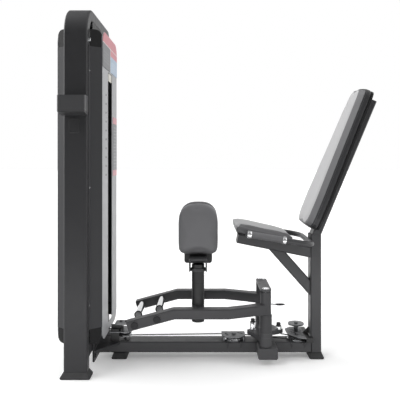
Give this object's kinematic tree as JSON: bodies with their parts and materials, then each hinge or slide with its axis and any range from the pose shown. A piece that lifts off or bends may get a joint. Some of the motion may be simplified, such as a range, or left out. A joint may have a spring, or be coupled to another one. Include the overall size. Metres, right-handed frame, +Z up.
{
  "type": "seated inner and outer thigh machine",
  "caption": "Seated inner and outer thigh machine: swinging arms with knee pads on hubs under the seat, cable driven from a covered weight stack tower.",
  "frame": {"origin": "centre of the sole under the seat post", "axes": "+Z up, +X from the weight tower towards the back rest, +Y towards the side without the tray"},
  "size_m": [1.442, 0.643, 1.58],
  "materials": {
    "charcoal": "satin",
    "black": "satin",
    "silver": "satin",
    "chrome": "polished",
    "steel": "brushed",
    "iron": "painted",
    "rubber": "matte",
    "vinyl": "upholstery vinyl",
    "plastic": "moulded",
    "print": "printed panel",
    "rope": "coated wire rope"
  },
  "bodies": {
    "frame": {"tower_arch": "charcoal", "tower_cross_beam": "charcoal", "tower_flange": "charcoal", "floor_beam": "charcoal", "hub_bridge": "charcoal", "seat_post": "charcoal", "back_tube": "charcoal", "seat_rail": "charcoal", "seat_brace": "charcoal", "handle_bar": "charcoal", "top_pulley_bracket": "black", "seat_board": "black", "back_board": "black", "front_cover": "silver", "rear_cover": "silver", "guide_rods": "chrome", "near_hub_nut": "chrome", "far_hub_nut": "chrome", "front_pulley_bracket": "steel", "middle_pulley_bracket": "steel", "rear_pulley_bracket": "steel", "near_hub_shaft": "steel", "far_hub_shaft": "steel", "resting_plates": "iron", "near_tower_foot": "rubber", "far_tower_foot": "rubber", "beam_foot": "rubber", "seat_post_foot": "rubber", "near_handle_grip": "rubber", "far_handle_grip": "rubber", "seat_pad": "vinyl", "back_pad": "vinyl", "accessory_tray": "plastic", "placard": "print", "stack_label": "print", "stack_cable": "rope", "drive_cable": "rope"},
    "stack": {"head_plate": "steel", "lifted_plates": "iron"},
    "selector_pin": {"selector_pin": "plastic"},
    "top_pulley": {"top_pulley": "chrome"},
    "bottom_pulley": {"bottom_pulley": "chrome"},
    "front_pulley": {"front_pulley": "chrome"},
    "middle_pulley": {"middle_pulley": "chrome"},
    "rear_pulley": {"rear_pulley": "chrome"},
    "rear_upper_pulley": {"rear_upper_pulley": "chrome"},
    "near_cam": {"near_cam": "charcoal"},
    "far_cam": {"far_cam": "charcoal"},
    "near_index_pin": {"near_index_pin": "plastic"},
    "far_index_pin": {"far_index_pin": "plastic"},
    "near_arm": {"near_arm": "charcoal"},
    "far_arm": {"far_arm": "charcoal", "front_foot_peg": "chrome", "rear_foot_peg": "chrome"},
    "near_release_lever": {"near_release_lever": "plastic"},
    "far_release_lever": {"far_release_lever": "plastic"},
    "near_pad": {"near_pad_yoke": "charcoal", "near_knee_pad": "vinyl"},
    "far_pad": {"far_pad_yoke": "charcoal", "far_knee_pad": "vinyl"}
  },
  "joints": [
    {"name": "stack_lift", "type": "slide", "parent": "frame", "child": "stack", "axis": [0, 0, 1], "range_m": [0, 0.196], "deforming": ["stack_cable"]},
    {"name": "selector_pin_pull", "type": "slide", "parent": "stack", "child": "selector_pin", "axis": [1, 0, 0], "range_m": [0, 0.06]},
    {"name": "top_pulley_spin", "type": "hinge", "parent": "frame", "child": "top_pulley", "pos_m": [-1.102, -0.01575, 1.44], "axis": [0.3664, -0.9305, 0], "continuous": true},
    {"name": "bottom_pulley_spin", "type": "hinge", "parent": "frame", "child": "bottom_pulley", "pos_m": [-1.1145, -0.0315, 0.1625], "axis": [0, 1, 0], "continuous": true},
    {"name": "front_pulley_spin", "type": "hinge", "parent": "frame", "child": "front_pulley", "pos_m": [-0.89, 0, 0.1045], "axis": [0, 0, 1], "continuous": true},
    {"name": "middle_pulley_spin", "type": "hinge", "parent": "frame", "child": "middle_pulley", "pos_m": [-0.381, 0, 0.087], "axis": [0, 0, 1], "continuous": true},
    {"name": "rear_pulley_spin", "type": "hinge", "parent": "frame", "child": "rear_pulley", "pos_m": [-0.084, 0, 0.087], "axis": [0, 0, 1], "continuous": true},
    {"name": "rear_upper_pulley_spin", "type": "hinge", "parent": "frame", "child": "rear_upper_pulley", "pos_m": [-0.073, 0.088, 0.1215], "axis": [0, 0, 1], "continuous": true},
    {"name": "near_cam_turn", "type": "hinge", "parent": "frame", "child": "near_cam", "pos_m": [-0.241, -0.1, 0.11], "axis": [0, 0, 1], "range_deg": [0, 45]},
    {"name": "far_cam_turn", "type": "hinge", "parent": "frame", "child": "far_cam", "pos_m": [-0.241, 0.1, 0.11], "axis": [0, 0, 1], "range_deg": [-45, 0]},
    {"name": "near_arm_set", "type": "hinge", "parent": "near_cam", "child": "near_arm", "pos_m": [-0.241, -0.1, 0.25], "axis": [0, 0, 1], "range_deg": [0, 40]},
    {"name": "far_arm_set", "type": "hinge", "parent": "far_cam", "child": "far_arm", "pos_m": [-0.241, 0.1, 0.25], "axis": [0, 0, 1], "range_deg": [-40, 0]},
    {"name": "near_pad_swivel", "type": "hinge", "parent": "near_arm", "child": "near_pad", "pos_m": [-0.547, -0.118, 0.452], "axis": [0, 0, 1], "range_deg": [0, 180]},
    {"name": "far_pad_swivel", "type": "hinge", "parent": "far_arm", "child": "far_pad", "pos_m": [-0.547, 0.118, 0.452], "axis": [0, 0, 1], "range_deg": [-180, 0]},
    {"name": "near_index_pin_pull", "type": "slide", "parent": "near_cam", "child": "near_index_pin", "axis": [0, 0, 1], "range_m": [0, 0.008], "stiffness_N_per_m": 400, "springref_m": -0.003},
    {"name": "far_index_pin_pull", "type": "slide", "parent": "far_cam", "child": "far_index_pin", "axis": [0, 0, 1], "range_m": [0, 0.008], "stiffness_N_per_m": 400, "springref_m": -0.003},
    {"name": "near_lever_lift", "type": "hinge", "parent": "near_arm", "child": "near_release_lever", "pos_m": [-0.241, -0.0702, 0.19], "axis": [1, 0, 0], "range_deg": [0, 12], "stiffness_Nm_per_rad": 0.6, "springref_deg": -8.59},
    {"name": "far_lever_lift", "type": "hinge", "parent": "far_arm", "child": "far_release_lever", "pos_m": [-0.2112, 0.1, 0.209], "axis": [0, -1, 0], "range_deg": [0, 12], "stiffness_Nm_per_rad": 0.6, "springref_deg": -8.59}
  ],
  "couplings": [
    {"joint": "near_cam_turn", "follows": "stack_lift", "rad_per_m": 4},
    {"joint": "far_cam_turn", "follows": "stack_lift", "rad_per_m": -4},
    {"joint": "top_pulley_spin", "follows": "stack_lift", "rad_per_m": 22.624},
    {"joint": "bottom_pulley_spin", "follows": "stack_lift", "rad_per_m": -35.336},
    {"joint": "front_pulley_spin", "follows": "stack_lift", "rad_per_m": 31.746},
    {"joint": "middle_pulley_spin", "follows": "stack_lift", "rad_per_m": -22.472},
    {"joint": "rear_pulley_spin", "follows": "stack_lift", "rad_per_m": 22.472},
    {"joint": "rear_upper_pulley_spin", "follows": "stack_lift", "rad_per_m": 27.1}
  ]
}
